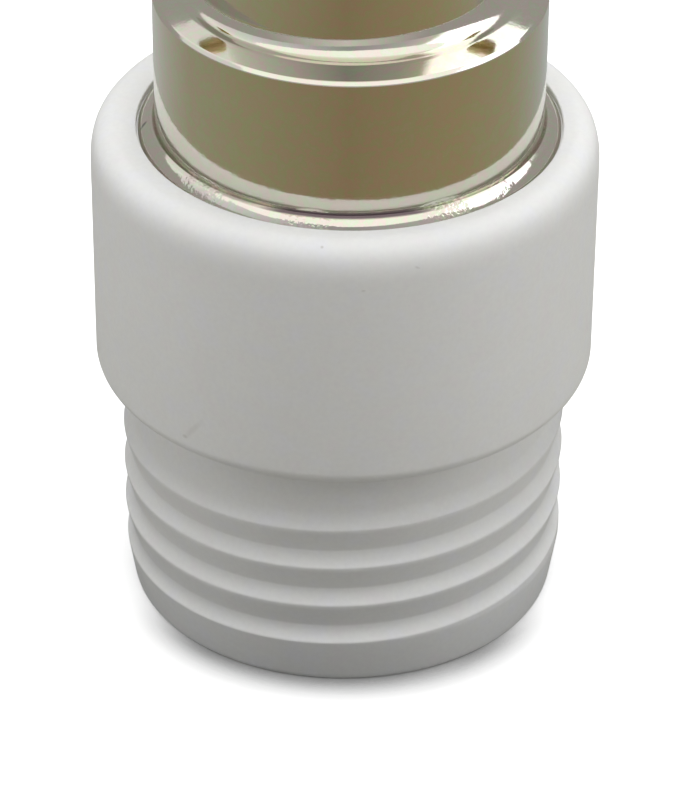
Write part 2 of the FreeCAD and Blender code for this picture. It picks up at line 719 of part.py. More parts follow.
def make_all():
    """Every piece of the converter, from the mouth to the contacts."""
    line = f"-{STUD_OFFSET}"
    neutral = STUD_OFFSET
    return [
        make_body(),
        make_cap_shell(),
        make_bayonet_pin("bayonet_pin_right", 0),
        make_bayonet_pin("bayonet_pin_left", 180),
        make_cap_insulator(),
        make_contact_stud("contact_stud_line", line),
        make_contact_stud("contact_stud_neutral", neutral),
        make_screw_shell(),
        make_shell_rivets(),
        make_neutral_tag(),
        make_contact_barrel(),
        make_contact_plunger(),
        make_contact_spring(),
        make_line_tag(),
        make_barrel_nut(),
        make_lead_wire("line_wire", line),
        make_lead_sleeve("line_sleeve", line),
        make_lead_wire("neutral_wire", neutral),
        make_lead_sleeve("neutral_sleeve", neutral),
    ]


def check_and_write(pieces):
    """Stop on any failed feature or bad solid, then write one file for each piece."""
    doc.recompute()
    for item in doc.Objects:
        bad = {"Invalid", "Error"} & set(item.State)
        if bad:
            raise RuntimeError(f"{item.Label}: {sorted(bad)} {item.getStatusString()}")
    for piece in pieces:
        if piece.Shape.isNull() or not piece.Shape.isValid() or not piece.Shape.Solids:
            raise RuntimeError(f"{piece.Label}: its shape is empty or not valid")
    for piece in pieces:
        piece.Shape.exportStep(f"parts/{piece.Label}.step")
        print(f"{piece.Label}: {len(piece.Shape.Solids)} solid, {piece.Shape.Volume:.1f} mm3")


check_and_write(make_all())
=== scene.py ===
import json
import math

import bmesh
import bpy
from mathutils import Matrix, Vector, noise


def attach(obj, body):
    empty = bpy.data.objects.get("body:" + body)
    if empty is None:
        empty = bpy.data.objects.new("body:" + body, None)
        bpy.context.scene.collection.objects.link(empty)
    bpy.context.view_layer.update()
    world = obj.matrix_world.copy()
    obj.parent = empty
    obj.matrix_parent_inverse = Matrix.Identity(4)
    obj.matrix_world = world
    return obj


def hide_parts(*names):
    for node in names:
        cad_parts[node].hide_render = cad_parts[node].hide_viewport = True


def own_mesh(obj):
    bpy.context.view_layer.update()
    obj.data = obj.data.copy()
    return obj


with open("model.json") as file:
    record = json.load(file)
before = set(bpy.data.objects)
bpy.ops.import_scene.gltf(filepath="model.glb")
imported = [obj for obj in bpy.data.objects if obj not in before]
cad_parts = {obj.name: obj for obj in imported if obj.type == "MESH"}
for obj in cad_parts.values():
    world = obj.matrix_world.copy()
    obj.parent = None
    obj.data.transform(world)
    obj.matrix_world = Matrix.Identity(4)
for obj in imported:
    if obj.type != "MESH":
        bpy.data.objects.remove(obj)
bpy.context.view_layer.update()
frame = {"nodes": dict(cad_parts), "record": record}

MM = 0.001
TAU = 2.0 * math.pi

# Sizes of the part in millimetres: radii, and heights above the mouth's rim.

# white body
BODY_RADIUS = 19.0
BODY_LOW = 19.5
BODY_TOP = 39.9
RIM_TOP = 0.4
SOCKET = 14.0
SOCKET_MOUTH = 14.6
SOCKET_LEAD = 0.6
WEB_LOW = 27.0
WEB_TOP = 31.0
BARREL_HOLE = 3.05
SPIGOT = 13.95
SPIGOT_BORE = 11.1
SPIGOT_TOP = 46.0
SPIGOT_CHAMFER = 0.5
RECESS = 15.86
RECESS_FLOOR = 39.4

# its upper corner: the radius at the top, what is added where it leaves the side, and the
# degrees of lean over which that fades
CORNER_ROUND = 1.85
CORNER_EASE = 4.5
CORNER_FADE = 15.0
CORNER_STEPS = 24

# neck: its radius, a height on it that aims the rounds, and its rows, which start at the rim's
# top and leave out the last steps of their span
NECK = 16.45
NECK_POINT = 17.0
NECK_SPAN = 19.0
NECK_STEPS = 262
NECK_ROWS = 258

# coarse outside thread: its form, the share of a turn in which it begins and ends, the height in
# which its root runs out into the neck, where its last slope fades, and how edges are rounded
COLLAR = 3.93
RING_ROOT = 16.5
RING_CREST = 17.08
RING_PITCH = 3.47
RING_FLAT = 0.15
RING_HOLLOW = 1.29
RING_START = 2.2
RING_TURNS = 3.99
RING_END = 16.03
RING_END_SHARE = 0.08
RING_RUN_OUT = 1.1
LAST_SLOPE_PAST = 0.6
LAST_SLOPE_FADE = 0.8
CREST_ROUND = 0.1
BLANK_ROUND = 0.06

# nickel-plated cap
SKIRT = 14.5
CAP_WALL = 0.5
SHOULDER = 51.35
SHOULDER_LOW = 51.0
SLEEVE = 11.0
SLEEVE_TOP = 66.0
LIP = 8.5
BEAD_INNER = 14.68
BEAD_TOP = 40.36
BEAD_BEND = 1.75

# sine and cosine of the bead's lean at its inner edge
BEAD_SINE = 0.259
BEAD_COSINE = 0.966

# How far the cap's skirt and flange, and their recess in the body, sit off the body's axis, up to
# what height, and the height in which that fades.
CAP_RIGHT = 0.32
CAP_FORWARD = 0.22
CAP_OFF_UP_TO = 51.2
CAP_OFF_FADE = 1.6

# screw shell, its lamp thread with the share of a turn in which it begins and ends, and its rows
SHELL_MINOR = 12.2
SHELL_DEPTH = 1.1
SHELL_WALL = 0.4
SHELL_PITCH = 3.63
SHELL_START = 6.9
SHELL_TURNS = 4.9
SHELL_END_SHARE = 0.12
SHELL_CREST = 0.15
SHELL_FLANK = 1.15
SHELL_LOW = 5.15
SHELL_TOP = 26.4
SHELL_ROWS = 132

# contacts and pins
SPRING_LOW = 27.24
SPRING_HIGH = 35.38
SPRING_COIL = 1.9
SPRING_TURNS = 6
STUD_OFFSET = 6.4
PIN_LEVEL = 60.4

# Marks on the body: middle, half sizes, tilt in radians and depth of colour.
BODY_MARKS = [
    ((-1.55, -17.95, 39.62), (0.16, 0.16, 0.16), (0.0, 0.0, 0.0), 0.5),
    ((5.25, -18.24, 38.1), (0.3, 0.25, 0.13), (0.0, 0.5, 0.0), 0.35),
    ((1.4, -18.95, 36.6), (0.22, 0.2, 0.1), (0.0, 0.0, 0.0), 0.3),
    ((-11.65, -15.01, 21.35), (0.3, 0.3, 0.2), (0.0, 0.0, 0.0), 0.3),
    ((-11.0, -15.5, 22.3), (1.7, 0.6, 0.3), (0.0, -0.9, -0.63), 0.15),
]
MARK_COLOUR = (0.40, 0.38, 0.34)

# Rough patches on the cap's bead: middle and half sizes.
BEAD_PATCHES = [
    ((-10.7, -11.1, 40.0), (2.9, 2.9, 0.8)),
    ((-2.7, -15.2, 40.0), (2.3, 1.4, 0.8)),
    ((7.5, -13.5, 40.0), (2.8, 2.2, 0.8)),
    ((11.3, -10.5, 40.0), (1.2, 1.6, 0.8)),
]

# Nick in the bead: middle, half sizes and tilt.
BEAD_NICK = ((-14.95, -1.6, 40.0), (0.5, 0.17, 0.6), (0.0, 0.0, 0.9))
NICK_COLOUR = (0.16, 0.15, 0.15)

# Where the painted shade that darkens the crease between the skirt and the bead begins and where
# it
# is full: its height, its radius from the cap's axis and how far forward it lies. Elsewhere round
# it is faint.
CREASE_SHADE_HEIGHTS = (40.48, 40.36)
CREASE_SHADE_RADII = (15.0, 14.88)
CREASE_SHADE_AHEAD = (-13.6, -14.2)
CREASE_SHADE_FAINT = 0.12
CREASE_SHADE_COLOUR = (0.17, 0.12, 0.135)

# Noise stretched into lines that run round the turned and drawn pieces.
ROUND_LINES = (0.15, 0.15, 6.0)

# The set, in metres. The shadow has a reach, tones by how open the floor is, the forward shares
# of direction between which it fades, and what is lost of it behind the part.
FLOOR_HOLE = 0.0158
FLOOR_REACH = 4.0
# Painted shade: the floor's colour for light it throws back, darker near the part and paler
# further off.
FLOOR_NEAR = (0.17, 0.17, 0.16)
FLOOR_FAR = (0.42, 0.41, 0.38)
FLOOR_NEAR_RADIUS = 0.018
FLOOR_FAR_RADIUS = 0.06
FLOOR_GLOW = 0.42
SHADOW_REACH = 0.0048
SHADOW_STOPS = [(0.5, 0.26), (0.66, 0.62), (0.84, 0.91), (0.97, 1.0)]
SHADOW_AHEAD = (-0.82, -0.3)
SHADOW_LOST_BEHIND = 0.85
WORLD_LIGHT = (0.12, 0.12, 0.12)
WHITE = (1.0, 1.0, 1.0)

# Colours of the cards by their direction in degrees from straight behind the part, positive to
# the right.
TABLE_COLOURS = [
    (-180.0, (0.295, 0.229, 0.137)), (-119.0, (0.345, 0.320, 0.205)),
    (-80.0, (0.380, 0.365, 0.272)), (-39.0, (0.500, 0.505, 0.480)),
    (34.0, (0.455, 0.470, 0.460)), (80.0, (0.372, 0.350, 0.235)),
    (119.0, (0.350, 0.290, 0.170)), (180.0, (0.295, 0.229, 0.137)),
]
LOW_COLOURS = [
    (-180.0, (0.75, 0.74, 0.72)), (-120.0, (0.43, 0.42, 0.41)),
    (120.0, (0.43, 0.42, 0.41)), (180.0, (0.75, 0.74, 0.72)),
]
ROOM_COLOURS = [
    (-180.0, (0.40, 0.40, 0.42)), (-130.0, (0.69, 0.68, 0.73)), (-90.0, (0.84, 0.85, 0.90)),
    (-55.0, (0.95, 0.95, 0.97)), (-35.0, (1.1, 1.1, 1.1)), (-12.0, (0.9, 0.9, 0.9)),
    (0.0, (0.7, 0.7, 0.7)), (8.0, (1.6, 1.6, 1.6)), (50.0, (2.4, 2.4, 2.6)),
    (92.0, (2.4, 2.4, 2.6)), (104.0, (0.74, 0.71, 0.66)), (130.0, (0.56, 0.55, 0.57)),
    (180.0, (0.40, 0.40, 0.42)),
]
TOP_COLOURS = [(-180.0, (1.35, 1.35, 1.33)), (180.0, (1.35, 1.35, 1.33))]

# Cards: name, the (radius, height) circles they reach between, and colours.
CARDS = [
    ("table_card", [(0.03, 0.0004), (0.24, 0.0004)], TABLE_COLOURS),
    ("low_card", [(0.5, 0.001), (0.5, 0.412)], LOW_COLOURS),
    ("room_card", [(0.5, 0.413), (0.5, 0.85)], ROOM_COLOURS),
    ("top_card", [(0.0, 0.86), (0.5, 0.86)], TOP_COLOURS),
]

# Lights: name, place, size and power. They all face one point of the part.
LIGHT_TARGET = (0.0, 0.0, 0.03)
LIGHTS = [
    ("key", (0.0, 0.0, 0.85), (0.6, 0.6), 3.3),
    ("key_back", (0.0, 0.35, 0.75), (0.5, 0.5), 1.5),
    ("key_front", (0.0, -0.35, 0.75), (0.5, 0.5), 1.6),
    ("left", (-0.6, -0.10, 0.24), (0.55, 0.4), 1.22),
    ("right", (0.6, -0.12, 0.29), (0.55, 0.4), 1.78),
]

# The photograph's pinhole: its width and focal length in pixels, and its place in metres.
PHOTO_WIDTH = 700.0
PHOTO_FOCAL = 4190.485
SENSOR_WIDTH = 36.0
CAMERA_PLACE = (0.000521, -0.271106, 0.194767)
CAMERA_FORWARD = (0.0, 0.83302, -0.55325)
CAMERA_ROLL = 0.476


def outline(corners, steps):
    """Points of a closed profile of (radius, height) corners; a third number rounds the corner."""
    points = []
    count = len(corners)
    for index, corner in enumerate(corners):
        here = Vector(corner[:2])
        if len(corner) == 2:
            points.append(here)
            continue
        before = (Vector(corners[index - 1][:2]) - here).normalized()
        after = (Vector(corners[(index + 1) % count][:2]) - here).normalized()
        half = before.angle(after) / 2.0
        centre = here + (before + after).normalized() * corner[2] / math.sin(half)
        start = here + before * corner[2] / math.tan(half) - centre
        end = here + after * corner[2] / math.tan(half) - centre
        first = math.atan2(start.y, start.x)
        turn = math.atan2(end.y, end.x) - first
        turn = (turn + math.pi) % TAU - math.pi
        for step in range(steps + 1):
            angle = first + turn * step / steps
            points.append(centre + corner[2] * Vector((math.cos(angle), math.sin(angle))))
    return points


def divided(points, longest):
    """The same closed profile with its long sides divided."""
    result = []
    for index, point in enumerate(points):
        after = points[(index + 1) % len(points)]
        parts = max(1, math.ceil((after - point).length / longest))
        for part in range(parts):
            result.append(point.lerp(after, part / parts))
    return result


def quarter(centre, width, height, steps):
    """Points of a quarter of an ellipse, from above or below its centre to beside it."""
    leans = [step * math.pi / (2.0 * steps) for step in range(steps + 1)]
    return [
        (centre[0] + width * math.sin(lean), centre[1] + height * math.cos(lean)) for lean in leans
    ]


def new_piece(name, vertices, faces, body, slot, sharp=35.0):
    """A piece from its vertices in millimetres, smooth apart from its sharp edges."""
    mesh = bpy.data.meshes.new(name)
    mesh.from_pydata([tuple(value * MM for value in vertex) for vertex in vertices], [], faces)
    shape = bmesh.new()
    shape.from_mesh(mesh)
    bmesh.ops.recalc_face_normals(shape, faces=shape.faces)
    shape.to_mesh(mesh)
    shape.free()
    mesh.shade_smooth()
    mesh.set_sharp_from_angle(angle=math.radians(sharp))
    mesh.materials.append(MATERIALS[slot])
    piece = bpy.data.objects.new(name, mesh)
    bpy.context.scene.collection.objects.link(piece)
    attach(piece, body)
    return piece


def lathe(points, segments, shift):
    """Vertices and faces of a closed profile turned round Z, its points moved by shift."""
    vertices = []
    faces = []
    rows = len(points)
    for segment in range(segments):
        angle = TAU * segment / segments
        for row, point in enumerate(points):
            radius, height = shift(row, angle, point)
            vertices.append((radius * math.cos(angle), radius * math.sin(angle), height))
    for segment in range(segments):
        here = segment * rows
        there = (segment + 1) % segments * rows
        for row in range(rows):
            up = (row + 1) % rows
            faces.append((here + row, there + row, there + up, here + up))
    return vertices, faces


def turned(points, segments):
    """Vertices and faces of an open profile turned round Z, closed by a pole at each end."""
    vertices = [(0.0, 0.0, points[0][1]), (0.0, 0.0, points[-1][1])]
    faces = []
    inner = points[1:-1]
    rows = len(inner)
    for segment in range(segments):
        angle = TAU * segment / segments
        for radius, height in inner:
            vertices.append((radius * math.cos(angle), radius * math.sin(angle), height))
    for segment in range(segments):
        here = 2 + segment * rows
        there = 2 + (segment + 1) % segments * rows
        faces.append((0, there, here))
        faces.append((1, here + rows - 1, there + rows - 1))
        for row in range(rows - 1):
            faces.append((here + row, there + row, there + row + 1, here + row + 1))
    return vertices, faces


def soft_step(value):
    """0 up to 0 and 1 from 1, with a smooth rise between."""
    value = min(1.0, max(0.0, value))
    return value * value * (3.0 - 2.0 * value)


def soft_least(first, second, width):
    """The lesser of two numbers, with the change between them rounded over a width."""
    blend = max(0.0, width - abs(first - second)) / width
    return min(first, second) - blend * blend * width * 0.25


def turn_share(angle):
    """How much of a turn an angle lies past the back of the part, where the helices start."""
    return (angle - math.pi / 2.0) % TAU / TAU


def add(tree, kind, *sources, **values):
    """A node with its named inputs and properties set, and its first inputs linked or set."""
    node = tree.nodes.new(kind)
    for name, value in values.items():
        if name in node.inputs:
            node.inputs[name].default_value = value
        else:
            setattr(node, name, value)
    for socket, source in zip(node.inputs, sources):
        if isinstance(source, bpy.types.NodeSocket):
            tree.links.new(source, socket)
        else:
            socket.default_value = source
    return node


def maths(tree, operation, first, second):
    return add(tree, "ShaderNodeMath", first, second, operation=operation).outputs["Value"]


def graded(tree, source, *limits, **values):
    """A source graded from 0 at one limit to 1 at the next; two more limits give other ends."""
    return add(tree, "ShaderNodeMapRange", source, *limits, **values).outputs["Result"]


def ramp(tree, source, stops):
    node = add(tree, "ShaderNodeValToRGB", source)
    elements = node.color_ramp.elements
    while len(elements) < len(stops):
        elements.new(0.5)
    for element, (position, colour) in zip(elements, stops):
        element.position = position
        element.color = (*colour, 1.0)
    return node.outputs["Color"]


def grey(value):
    return (value, value, value)


def mixed(tree, factor, first, second):
    """A mix of two colours, each a socket or a plain colour."""
    node = add(tree, "ShaderNodeMix", factor, data_type="RGBA")
    colours = [socket for socket in node.inputs if socket.type == "RGBA"]
    for socket, value in zip(colours, (first, second)):
        if isinstance(value, tuple):
            socket.default_value = (*value, 1.0)
        else:
            tree.links.new(value, socket)
    return next(socket for socket in node.outputs if socket.type == "RGBA")


def own_place(tree):
    """The part's own coordinates, in metres."""
    return tree.nodes.new("ShaderNodeTexCoord").outputs["Object"]


def split(tree, vector):
    return add(tree, "ShaderNodeSeparateXYZ", vector).outputs


def length(tree, vector):
    return add(tree, "ShaderNodeVectorMath", vector, operation="LENGTH").outputs["Value"]


def noise_of(tree, scale, detail, stretch=(1.0, 1.0, 1.0), roughness=0.5):
    """Noise in the part's own coordinates; the scale counts features in a metre."""
    where = add(tree, "ShaderNodeMapping", own_place(tree), Scale=stretch).outputs["Vector"]
    node = add(tree, "ShaderNodeTexNoise", where, Scale=scale, Detail=detail, Roughness=roughness)
    return node.outputs["Fac"]


def mark(tree, place, size, tilt=(0.0, 0.0, 0.0)):
    """A soft spot from its middle and half sizes in millimetres: 1 in its middle, 0 at its rim."""
    where = add(
        tree, "ShaderNodeMapping", own_place(tree), vector_type="TEXTURE",
        Location=[value * MM for value in place], Rotation=tilt,
        Scale=[value * MM for value in size])
    spot = add(
        tree, "ShaderNodeTexGradient", where.outputs["Vector"], gradient_type="SPHERICAL")
    return spot.outputs["Fac"]


def bump(tree, shader, heights):
    """Chain of bumps, each (source, strength, distance in metres)."""
    normal = None
    for source, strength, distance in heights:
        node = add(tree, "ShaderNodeBump", Strength=strength, Distance=distance)
        tree.links.new(source, node.inputs["Height"])
        if normal:
            tree.links.new(normal, node.inputs["Normal"])
        normal = node.outputs["Normal"]
    tree.links.new(normal, shader.inputs["Normal"])


def shaded(name):
    """A new material with its node tree and its shader."""
    material = bpy.data.materials.new(name)
    material.use_nodes = True
    tree = material.node_tree
    return material, tree, tree.nodes["Principled BSDF"]


def emptied(block):
    """The node tree of a material or a world, with nothing in it."""
    block.use_nodes = True
    block.node_tree.nodes.clear()
    return block.node_tree


def white_moulding():
    """Matt white moulding with a fine grain, faint clouds of tint, a few specks and a scratch."""
    material, tree, shader = shaded("white_moulding")
    cloud = noise_of(tree, 90.0, detail=5.0)
    base = ramp(tree, cloud, [(0.3, (0.785, 0.785, 0.782)), (0.7, (0.822, 0.825, 0.828))])
    tint = ramp(tree, noise_of(tree, 520.0, detail=3.0), [
        (0.30, (0.800, 0.770, 0.775)), (0.45, (0.795, 0.805, 0.770)),
        (0.55, (0.790, 0.800, 0.790)), (0.70, (0.785, 0.790, 0.830)),
    ])
    colour = mixed(tree, 0.55, base, tint)
    grain = noise_of(tree, 2600.0, detail=3.0)
    darker = ramp(tree, grain, [(0.35, grey(0.0)), (0.75, grey(0.4))])
    colour = mixed(tree, darker, colour, grey(0.735))
    for place, size, tilt, depth in BODY_MARKS:
        spot = ramp(tree, mark(tree, place, size, tilt), [(0.0, grey(0.0)), (0.7, grey(depth))])
        colour = mixed(tree, spot, colour, MARK_COLOUR)
    tree.links.new(colour, shader.inputs["Base Color"])
    rough = ramp(tree, noise_of(tree, 700.0, detail=3.0), [(0.3, grey(0.5)), (0.7, grey(0.66))])
    tree.links.new(rough, shader.inputs["Roughness"])
    shader.inputs["Specular IOR Level"].default_value = 0.35
    wave = noise_of(tree, 240.0, detail=2.0)
    bump(tree, shader, [(wave, 0.10, 0.0004), (grain, 0.10, 0.00006)])
    return material


def metal(name, dull, clean, rough, stains, marks, depth, wear_and_shade=False):
    """Metal whose colour and gloss vary with stains and with fine marks that run round it."""
    material, tree, shader = shaded(name)
    shader.inputs["Metallic"].default_value = 1.0
    stain = noise_of(tree, stains, detail=6.0, roughness=0.6)
    lines = noise_of(tree, marks, detail=4.0, stretch=ROUND_LINES)
    middle = tuple(
        low * 0.45 + high * 0.55 * tint
        for low, high, tint in zip(dull, clean, (0.985, 1.02, 0.98)))
    base = ramp(tree, stain, [(0.36, dull), (0.5, middle), (0.64, clean)])
    colour = mixed(tree, ramp(tree, lines, [(0.45, grey(0.0)), (0.8, grey(0.4))]), base, dull)
    heights = [(stain, 0.05, 0.0003), (lines, 0.06, depth)]
    # Wear, and a painted shade in the crease of the cap.
    if wear_and_shade:
        colour = plating_wear_and_shade(tree, shader, colour)
        heights += bead_pits(tree)
    tree.links.new(colour, shader.inputs["Base Color"])
    gloss = ramp(tree, lines, [(0.25, grey(rough[0])), (0.75, grey(rough[1]))])
    tree.links.new(gloss, shader.inputs["Roughness"])
    bump(tree, shader, heights)
    return material


def plating_wear_and_shade(tree, shader, colour):
    """The cap's colour with clouds of tint, painted shade in its crease, dark and matt, and a nick
    in its bead.
    """
    tint = ramp(tree, noise_of(tree, 1100.0, detail=6.0, roughness=0.62), [
        (0.36, (0.66, 0.65, 0.58)), (0.45, (0.61, 0.68, 0.51)),
        (0.55, (0.71, 0.60, 0.56)), (0.64, (0.67, 0.64, 0.57)),
    ])
    colour = mixed(tree, 0.85, colour, tint)
    # Painted shade darkens the crease and takes its metal away, fullest in front.
    painted_shade = crease_shade(tree)
    colour = mixed(tree, painted_shade, colour, CREASE_SHADE_COLOUR)
    tree.links.new(maths(tree, "SUBTRACT", 1.0, painted_shade), shader.inputs["Metallic"])
    nick = ramp(tree, mark(tree, *BEAD_NICK), [(0.0, grey(0.0)), (0.5, grey(0.8))])
    return mixed(tree, nick, colour, NICK_COLOUR)


def crease_shade(tree):
    """Painted shade between the cap's skirt and its bead: 1 in front, faint round the rest, else
    0.
    """
    where = own_place(tree)
    axes = split(tree, where)
    from_axis = add(
        tree, "ShaderNodeVectorMath", where, (1.0, 1.0, 0.0),
        (-CAP_RIGHT * MM, CAP_FORWARD * MM, 0.0), operation="MULTIPLY_ADD")
    reach = length(tree, from_axis.outputs["Vector"])
    low = graded(tree, axes["Z"], *[value * MM for value in CREASE_SHADE_HEIGHTS])
    near = graded(tree, reach, *[value * MM for value in CREASE_SHADE_RADII])
    ahead = graded(tree, axes["Y"], *[value * MM for value in CREASE_SHADE_AHEAD], CREASE_SHADE_FAINT)
    return maths(tree, "MULTIPLY", maths(tree, "MULTIPLY", low, near), ahead)


def bead_pits(tree):
    """Bumps for the rough patches on the cap's bead."""
    pits = noise_of(tree, 2400.0, detail=2.0)
    heights = []
    for place, size in BEAD_PATCHES:
        patch = ramp(tree, mark(tree, place, size), [(0.0, grey(0.0)), (0.4, grey(1.0))])
        heights.append((maths(tree, "MULTIPLY", pits, patch), 0.4, 0.00016))
    return heights


def moulded(name, low, high, rough, clouds):
    """Moulded or drawn plastic with a slight unevenness of colour and surface."""
    material, tree, shader = shaded(name)
    cloud = noise_of(tree, clouds, detail=5.0)
    colour = ramp(tree, cloud, [(0.3, low), (0.7, high)])
    tree.links.new(colour, shader.inputs["Base Color"])
    fine = noise_of(tree, clouds * 12.0, detail=3.0)
    gloss = ramp(tree, fine, [(0.3, grey(rough[0])), (0.7, grey(rough[1]))])
    tree.links.new(gloss, shader.inputs["Roughness"])
    bump(tree, shader, [(cloud, 0.08, 0.0003), (fine, 0.08, 0.00004)])
    return material


def make_materials():
    """The finish of each material slot."""
    return {
        "white_moulding": white_moulding(),
        "nickel_plate": metal(
            "nickel_plate", dull=(0.63, 0.60, 0.53), clean=(0.70, 0.68, 0.62),
            rough=(0.05, 0.10), stains=260.0, marks=900.0, depth=0.00002, wear_and_shade=True),
        "brass": metal(
            "brass", dull=(0.62, 0.46, 0.22), clean=(0.80, 0.63, 0.34),
            rough=(0.20, 0.38), stains=420.0, marks=1500.0, depth=0.00003),
        "black_moulding": moulded(
            "black_moulding", low=(0.018, 0.017, 0.016), high=(0.034, 0.032, 0.03),
            rough=(0.22, 0.38), clouds=220.0),
        "shell_metal": metal(
            "shell_metal", dull=(0.58, 0.58, 0.57), clean=(0.78, 0.78, 0.77),
            rough=(0.22, 0.40), stains=300.0, marks=1200.0, depth=0.00004),
        "spring_steel": metal(
            "spring_steel", dull=(0.42, 0.42, 0.43), clean=(0.6, 0.6, 0.61),
            rough=(0.25, 0.42), stains=500.0, marks=1500.0, depth=0.00003),
        "tinned_wire": metal(
            "tinned_wire", dull=(0.6, 0.58, 0.54), clean=(0.76, 0.74, 0.7),
            rough=(0.25, 0.45), stains=500.0, marks=1500.0, depth=0.00003),
        "lead_tubing": moulded(
            "lead_tubing", low=(0.70, 0.63, 0.50), high=(0.80, 0.74, 0.62),
            rough=(0.5, 0.7), clouds=300.0),
    }


def ring_radius(angle, height):
    """Radius of the threaded neck: above each crest a hollow, then a long slope to the next."""
    part = turn_share(angle)
    along = (height - RING_START) / RING_PITCH - part
    turn = math.floor(along)
    rise = (along - turn) * RING_PITCH
    depth = RING_CREST - RING_ROOT
    bend = (RING_HOLLOW ** 2 + depth ** 2) / (2.0 * depth)
    hollow = bend - math.sqrt(bend ** 2 - max(0.0, RING_HOLLOW - rise) ** 2)
    above = RING_START + (turn + part + 1.0) * RING_PITCH
    slope = depth * (rise - RING_HOLLOW) / (RING_PITCH - RING_FLAT - RING_HOLLOW)
    slope *= soft_step((RING_END + LAST_SLOPE_PAST - above) / LAST_SLOPE_FADE)
    lift = soft_least(hollow if rise < RING_HOLLOW else slope, depth, CREST_ROUND)
    ends = soft_step((turn + part) / RING_END_SHARE)
    ends *= soft_step((RING_TURNS - turn - part) / RING_END_SHARE)
    collar = NECK + (RING_CREST - NECK) * height / COLLAR
    blank = min(collar, RING_CREST, NECK + max(0.0, RING_END - height))
    run_out = (RING_ROOT - NECK) * soft_step((height - RING_END + RING_RUN_OUT) / RING_RUN_OUT)
    thread = RING_CREST - ends * (depth - lift) - run_out
    return max(NECK, soft_least(thread, blank, BLANK_ROUND))


def eased_corner(side, top):
    """Points of the body's upper corner from its side to its top, which bends slowly at first."""
    arc = []
    radius = side
    height = 0.0
    for step in range(CORNER_STEPS):
        lean = math.pi / 2.0 * (step + 0.5) / CORNER_STEPS
        ease = CORNER_EASE * math.exp(-(math.degrees(lean) / CORNER_FADE) ** 2)
        bend = (CORNER_ROUND + ease) * math.pi / 2.0 / CORNER_STEPS
        arc.append((radius, height))
        radius -= bend * math.sin(lean)
        height += bend * math.cos(lean)
    arc.append((radius, height))
    return [(across, top - height + along) for across, along in arc]


def make_body():
    """White body, its thread set into the rows of the neck; outer corners only aim the rounds."""
    rim = outline([
        (SOCKET_MOUTH, 0.0, 0.12), (NECK, 0.0, 0.35), (NECK + 0.05, RIM_TOP), (NECK, NECK_POINT),
    ], steps=6)[:-2]
    neck = [
        Vector((NECK, RIM_TOP + NECK_SPAN * step / NECK_STEPS)) for step in range(NECK_ROWS)
    ]
    rest = outline([
        (NECK, NECK_POINT), (NECK, BODY_LOW, 0.3), (BODY_RADIUS, BODY_LOW, 1.3),
        *eased_corner(BODY_RADIUS, BODY_TOP), (RECESS, BODY_TOP, 0.12), (RECESS, RECESS_FLOOR),
        (SPIGOT, RECESS_FLOOR), (SPIGOT, SPIGOT_TOP - SPIGOT_CHAMFER),
        (SPIGOT - SPIGOT_CHAMFER, SPIGOT_TOP), (SPIGOT_BORE, SPIGOT_TOP), (SPIGOT_BORE, WEB_TOP),
        (BARREL_HOLE, WEB_TOP), (BARREL_HOLE, WEB_LOW), (SOCKET, WEB_LOW), (SOCKET, SOCKET_LEAD),
        (SOCKET_MOUTH, 0.0),
    ], steps=14)[1:-1]
    first = len(rim)
    last = first + len(neck)

    def shift(row, angle, point):
        if first <= row < last:
            return ring_radius(angle, point.y), point.y
        return point

    def set_off(x, y, z):
        """The recess sits off the axis with the cap."""
        in_recess = z > RECESS_FLOOR - 0.1 and abs(math.hypot(x, y) - RECESS) < 0.14
        return (x + CAP_RIGHT, y - CAP_FORWARD, z) if in_recess else (x, y, z)

    vertices, faces = lathe(rim + neck + rest, segments=280, shift=shift)
    vertices = [set_off(*vertex) for vertex in vertices]
    piece = new_piece("body_form", vertices, faces, "converter", "white_moulding", sharp=50.0)
    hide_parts("body")


def make_cap():
    """Drawn cap: a bead that falls outwards, a crease, the skirt, the shoulder and the sleeve."""
    leans = [math.radians(60.0 - 5.0 * step) for step in range(10)]
    bead = [
        (BEAD_INNER + BEAD_BEND * (math.sin(lean) - BEAD_SINE),
         BEAD_TOP - BEAD_BEND * (BEAD_COSINE - math.cos(lean))) for lean in leans
    ]
    points = divided(outline([
        (SKIRT - CAP_WALL, RECESS_FLOOR), (15.74, RECESS_FLOOR), *bead, (14.58, 40.30),
        (SKIRT, 40.22), (SKIRT, 50.8, 0.12), (14.2, SHOULDER_LOW, 0.5), (12.56, SHOULDER, 2.0),
        (SLEEVE, SHOULDER, 1.2), (SLEEVE, SLEEVE_TOP, 1.0), (LIP, SLEEVE_TOP, 0.12),
        (LIP, SLEEVE_TOP - CAP_WALL), (SLEEVE - CAP_WALL, SLEEVE_TOP - CAP_WALL),
        (SLEEVE - CAP_WALL, SHOULDER - CAP_WALL), (SKIRT - CAP_WALL, SHOULDER_LOW - CAP_WALL),
    ], steps=10), longest=1.2)

    def shift(row, angle, point):
        """The bead is a little uneven all round."""
        on_bead = point.x > SKIRT + 0.14 and point.y > RECESS_FLOOR + 0.1
        if not on_bead:
            return point
        place = Vector((math.cos(angle), math.sin(angle), 0.0))
        lift = 0.015 * noise.noise(place * 7.0) + 0.004 * noise.noise(place * 40.0)
        return point.x + 0.5 * lift, point.y + lift

    def set_off(x, y, z):
        """The skirt and the flange sit a little off the body's axis; the sleeve doesn't."""
        share = 1.0 - soft_step((z - CAP_OFF_UP_TO) / CAP_OFF_FADE)
        return x + CAP_RIGHT * share, y - CAP_FORWARD * share, z

    vertices, faces = lathe(points, segments=360, shift=shift)
    vertices = [set_off(*vertex) for vertex in vertices]
    piece = new_piece("cap_form", vertices, faces, "converter", "nickel_plate", sharp=40.0)
    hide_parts("cap_shell")


